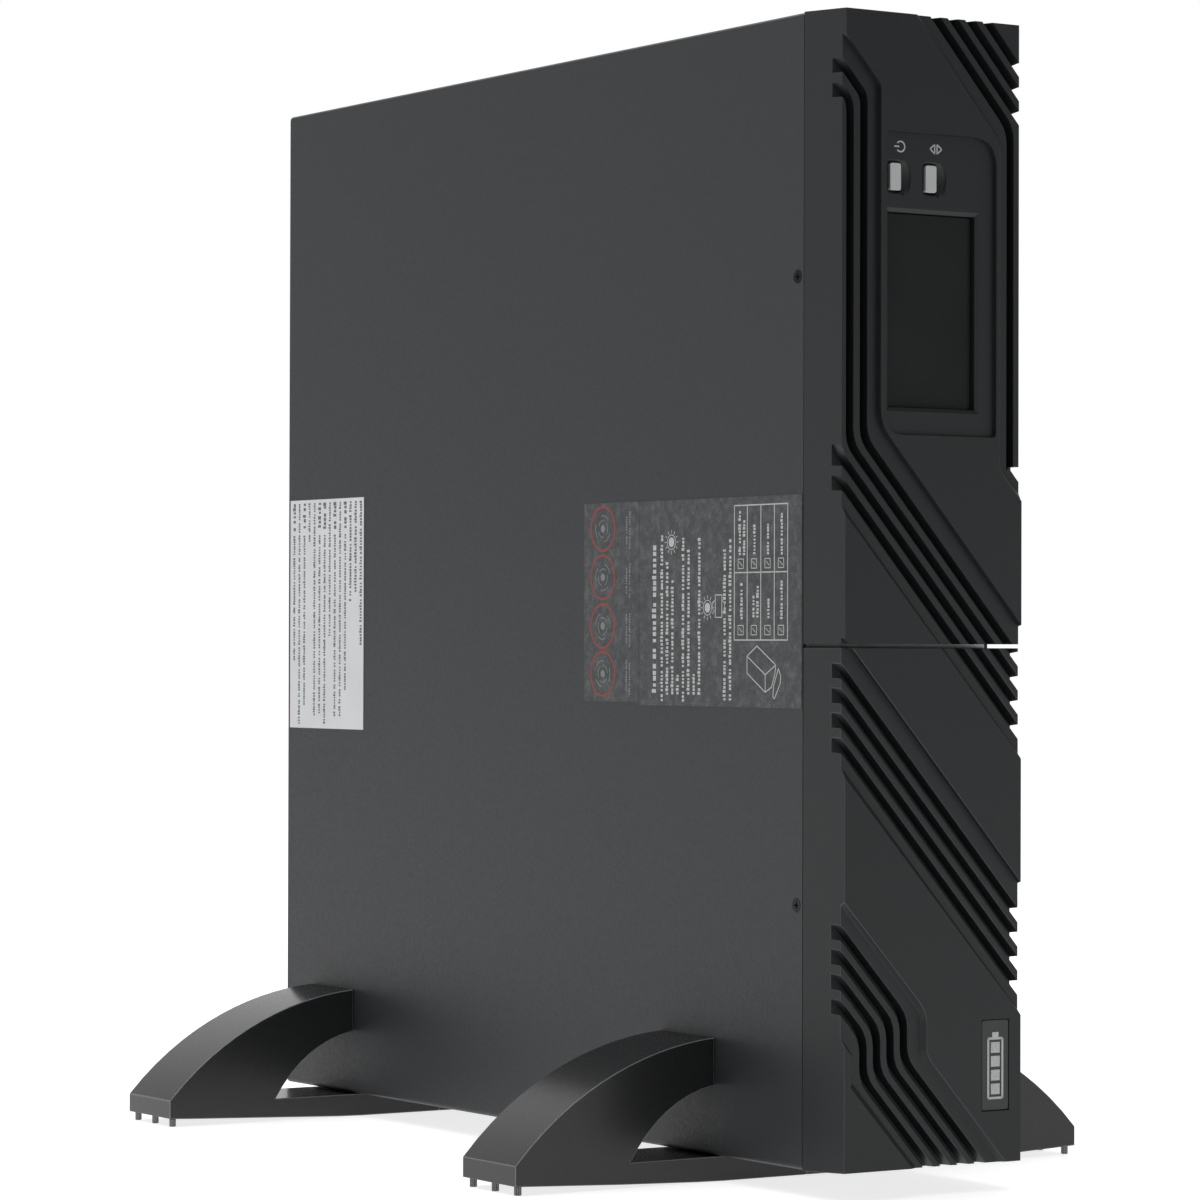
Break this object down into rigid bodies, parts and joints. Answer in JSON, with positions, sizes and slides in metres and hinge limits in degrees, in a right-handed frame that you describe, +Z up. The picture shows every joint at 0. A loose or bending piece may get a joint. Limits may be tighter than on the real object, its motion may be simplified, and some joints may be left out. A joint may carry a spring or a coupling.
{
  "type": "uninterruptible power supply",
  "caption": "Slim black rack or tower power supply stood on arched feet, with a grooved front moulding, display, buttons, rear sockets and a front battery tray.",
  "frame": {"origin": "on the floor under the middle of the whole object", "axes": "+Z up, -Y towards the front moulding, -X towards the large labelled cover panel"},
  "size_m": [0.27, 0.4282, 0.448],
  "materials": {
    "case_paint": "satin powder coat",
    "bezel_plastic": "fine moulded texture",
    "badge_metal": "satin",
    "inner_steel": "zinc plated",
    "black_screw": "black oxide",
    "paper_label": "matt printed film",
    "foil_label": "mottled matt film",
    "smoked_window": "gloss",
    "black_moulding": "satin",
    "button_plastic": "satin",
    "circuit_board": "solder mask",
    "copper_winding": "varnished",
    "core_steel": "varnished laminations",
    "aluminium_fin": "extruded",
    "capacitor_sleeve": "shrink sleeve",
    "battery_case": "moulded",
    "cable_sheath": "flexible sheath",
    "foot_plastic": "satin moulded"
  },
  "bodies": {
    "chassis": {"top_cover": "case_paint", "chassis_tray": "case_paint", "front_wall": "inner_steel", "bay_divider": "inner_steel", "cover_screw_1": "black_screw", "cover_screw_2": "black_screw", "cover_screw_3": "black_screw", "cover_screw_4": "black_screw", "rating_label": "paper_label", "side_label": "foil_label", "side_label_strip": "foil_label", "upper_bezel": "bezel_plastic", "display_window": "smoked_window", "lcd_module": "black_moulding", "control_board": "circuit_board", "rear_panel": "case_paint", "outlet_1": "black_moulding", "outlet_2": "black_moulding", "outlet_3": "black_moulding", "outlet_4": "black_moulding", "outlet_5": "black_moulding", "outlet_6": "black_moulding", "ac_inlet": "black_moulding", "usb_port": "inner_steel", "network_port_1": "black_moulding", "network_port_2": "black_moulding", "expansion_slot_cover": "case_paint", "ground_stud": "inner_steel", "breaker_body": "black_moulding", "fan_frame": "black_moulding", "fan_guard": "inner_steel", "transformer_core": "core_steel", "transformer_coil": "copper_winding", "transformer_bracket": "inner_steel", "main_board": "circuit_board", "heat_sink_1": "aluminium_fin", "heat_sink_2": "aluminium_fin", "capacitor_1": "capacitor_sleeve", "capacitor_2": "capacitor_sleeve", "capacitor_3": "capacitor_sleeve", "relay_1": "black_moulding", "relay_2": "black_moulding", "battery_socket": "black_moulding", "front_foot_left": "foot_plastic", "front_foot_right": "foot_plastic", "rear_foot_left": "foot_plastic", "rear_foot_right": "foot_plastic"},
    "battery_pack": {"battery_tray": "inner_steel", "tray_handle": "black_moulding", "battery_1": "battery_case", "battery_2": "battery_case", "battery_3": "battery_case", "battery_harness": "cable_sheath", "battery_plug": "black_moulding"},
    "battery_door": {"lower_bezel": "bezel_plastic", "badge_plate": "badge_metal"},
    "power_key": {"power_button": "button_plastic"},
    "select_key": {"select_button": "button_plastic"},
    "breaker_key": {"breaker_button": "button_plastic"},
    "fan_wheel": {"fan_rotor": "black_moulding"}
  },
  "joints": [
    {"name": "battery_slide", "type": "slide", "parent": "chassis", "child": "battery_pack", "axis": [0, -1, 0], "range_m": [0, 0.3]},
    {"name": "door_pull", "type": "slide", "parent": "battery_pack", "child": "battery_door", "axis": [0, -1, 0], "range_m": [0, 0.04]},
    {"name": "power_press", "type": "slide", "parent": "chassis", "child": "power_key", "axis": [0, 1, 0], "range_m": [0, 0.001], "stiffness_N_per_m": 400},
    {"name": "select_press", "type": "slide", "parent": "chassis", "child": "select_key", "axis": [0, 1, 0], "range_m": [0, 0.001], "stiffness_N_per_m": 400},
    {"name": "breaker_press", "type": "slide", "parent": "chassis", "child": "breaker_key", "axis": [0, -1, 0], "range_m": [0, 0.0015], "stiffness_N_per_m": 800},
    {"name": "fan_spin", "type": "hinge", "parent": "chassis", "child": "fan_wheel", "pos_m": [0, 0.19768, 0.398], "axis": [0, 1, 0], "continuous": true}
  ]
}
